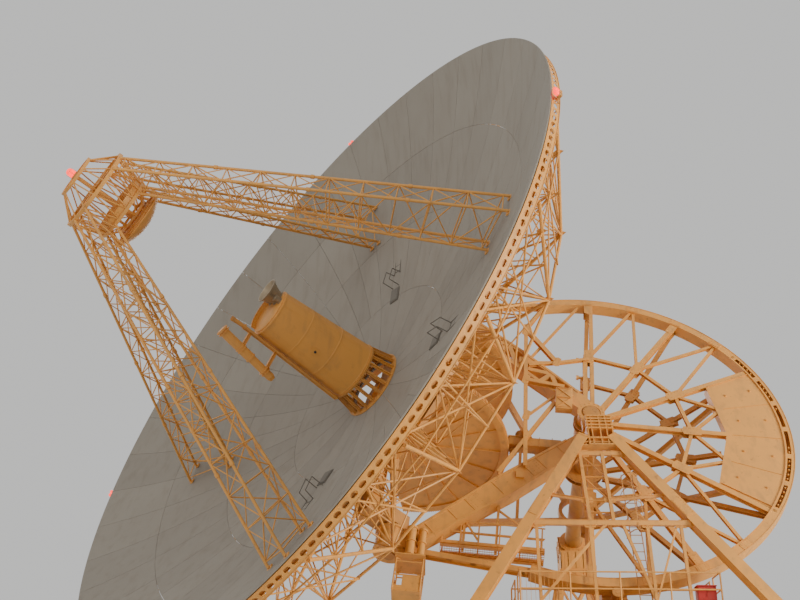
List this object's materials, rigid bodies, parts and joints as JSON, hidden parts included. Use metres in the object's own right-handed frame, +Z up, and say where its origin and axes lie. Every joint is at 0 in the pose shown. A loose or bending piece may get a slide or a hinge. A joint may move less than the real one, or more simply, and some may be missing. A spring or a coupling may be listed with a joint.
{
  "type": "equatorial radio telescope dish",
  "caption": "Cassegrain dish on an equatorial mount: polar wheel with yoke arms and counterweight, leg frame, drive platform and rear bearing tower.",
  "frame": {"origin": "centre of the level where the polar axis's front hub stands over the ground: on the ground, under the front hub, on the underside of the drive platform's slab", "axes": "+Z up; the polar axis rises toward -Y, the viewer's side, by 25.93 degrees; +X to the viewer's right, the dish hangs over -X at rest"},
  "size_m": [29.6135, 23.9347, 29.4506],
  "materials": {
    "structure_paint": "satin ochre paint",
    "shade_paint": "satin ochre paint, weathered",
    "panel_paint": "matt grey diffuse paint on aluminium panels",
    "housing_paint": "satin ochre paint on sheet aluminium",
    "bare_steel": "machined and greased",
    "horn_metal": "dull spun metal",
    "cabinet_red": "red enamel",
    "lamp_red": "clear red lamp glass",
    "concrete": "rough cast concrete"
  },
  "bodies": {
    "pedestal": {"base_slab": "concrete", "front_foot_left": "concrete", "front_foot_right": "concrete", "rear_foot_left": "concrete", "rear_foot_right": "concrete", "front_head": "structure_paint", "front_leg_left": "structure_paint", "front_leg_right": "structure_paint", "front_bracing": "structure_paint", "drive_platform": "shade_paint", "railing_front": "structure_paint", "railing_back": "structure_paint", "cabinet": "cabinet_red", "platform_tower": "structure_paint", "hour_drive": "bare_steel", "access_ladder": "shade_paint", "rear_housing": "structure_paint", "rear_tower": "structure_paint", "link_girder": "structure_paint"},
    "polar_frame": {"polar_shaft": "bare_steel", "yoke_arm_lower": "structure_paint", "yoke_arm_upper": "structure_paint", "dec_bearing_lower": "shade_paint", "dec_bearing_upper": "shade_paint", "wheel_rim": "structure_paint", "counterweight_plate": "structure_paint", "front_spokes": "structure_paint", "rear_spokes": "shade_paint", "yoke_braces": "shade_paint", "access_basket": "structure_paint", "dec_drive": "bare_steel"},
    "reflector": {"reflector_surface": "panel_paint", "rim_girder": "structure_paint", "truss_lower": "structure_paint", "truss_near": "structure_paint", "truss_upper": "structure_paint", "truss_far": "structure_paint", "trunnion_girder": "shade_paint", "dec_sector_lower": "structure_paint", "dec_sector_upper": "structure_paint", "feed_leg_lower": "structure_paint", "feed_leg_near": "structure_paint", "feed_leg_upper": "structure_paint", "feed_leg_far": "structure_paint", "apex_frame": "structure_paint", "subreflector": "housing_paint", "feed_cone": "housing_paint", "cone_skirt": "shade_paint", "cone_rail": "shade_paint", "side_tube": "shade_paint", "feed_horns": "horn_metal", "rim_light_lower": "lamp_red", "rim_light_near": "lamp_red", "rim_light_upper": "lamp_red", "rim_light_far": "lamp_red", "apex_light": "lamp_red"}
  },
  "joints": [
    {"name": "hour_angle", "type": "hinge", "parent": "pedestal", "child": "polar_frame", "pos_m": [0, 0.2068, 14.6894], "axis": [0, -0.8993, 0.4373], "range_deg": [-173.87, 6.13]},
    {"name": "declination", "type": "hinge", "parent": "polar_frame", "child": "reflector", "pos_m": [-6.5324, 0.5136, 15.3204], "axis": [0.1068, 0.4348, 0.8942], "range_deg": [-85.82, 49.18]}
  ]
}
